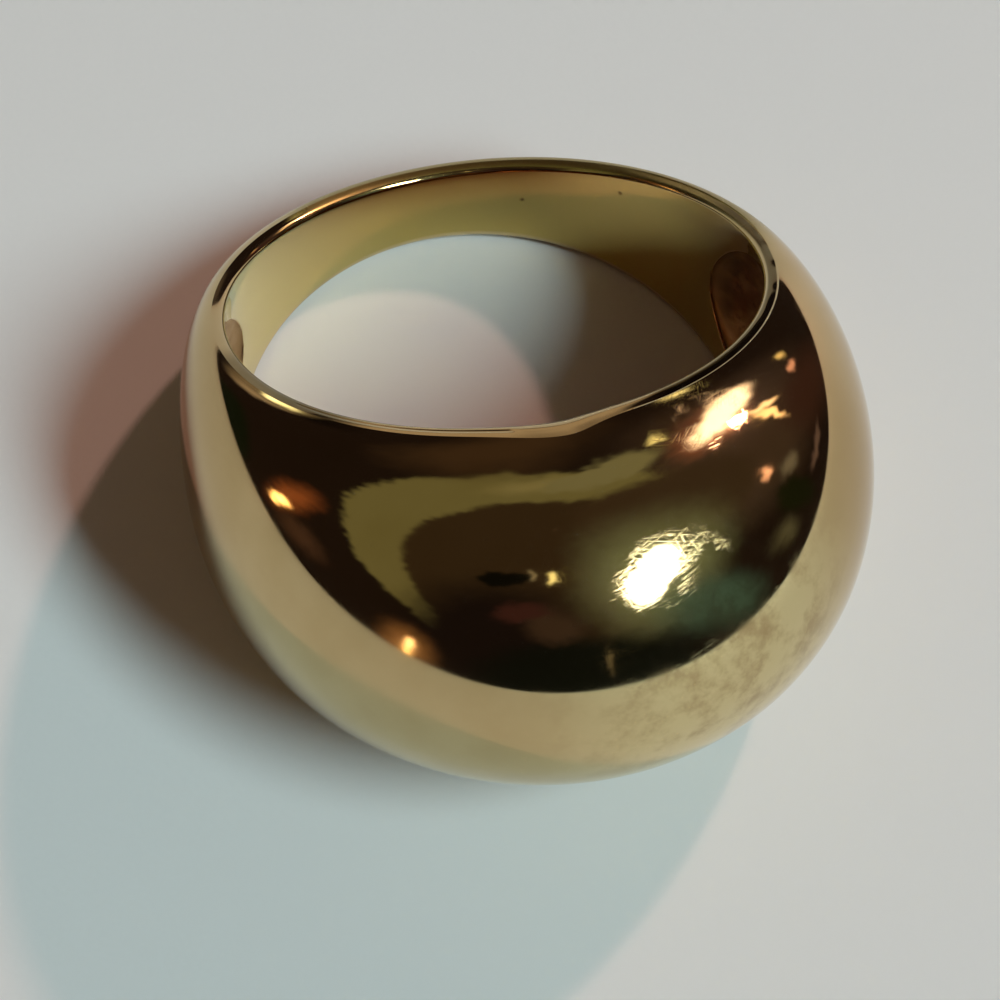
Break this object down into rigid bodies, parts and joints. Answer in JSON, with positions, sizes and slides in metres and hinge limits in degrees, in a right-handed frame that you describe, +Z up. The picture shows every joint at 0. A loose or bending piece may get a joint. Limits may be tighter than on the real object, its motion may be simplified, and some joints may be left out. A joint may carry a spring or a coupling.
{
  "type": "dome ring",
  "caption": "Polished gold-tone finger ring whose narrow band swells into a wide high dome, hollow behind, lying on its side.",
  "frame": {"origin": "on the surface that the ring rests on, under the middle of its box", "axes": "+Z up from the lower rim, on which the ring lies; -Y the way the dome faces; +X to the right of someone who looks at the dome. The finger's axis leans from +Z towards +Y by 14.7 degrees."},
  "size_m": [0.022, 0.025, 0.0124],
  "materials": {
    "gold_metal": "polished yellow gold tone with fine scratches and faint tarnish, rough as cast inside the hollow"
  },
  "bodies": {
    "root": {"ring": "gold_metal"}
  },
  "joints": []
}
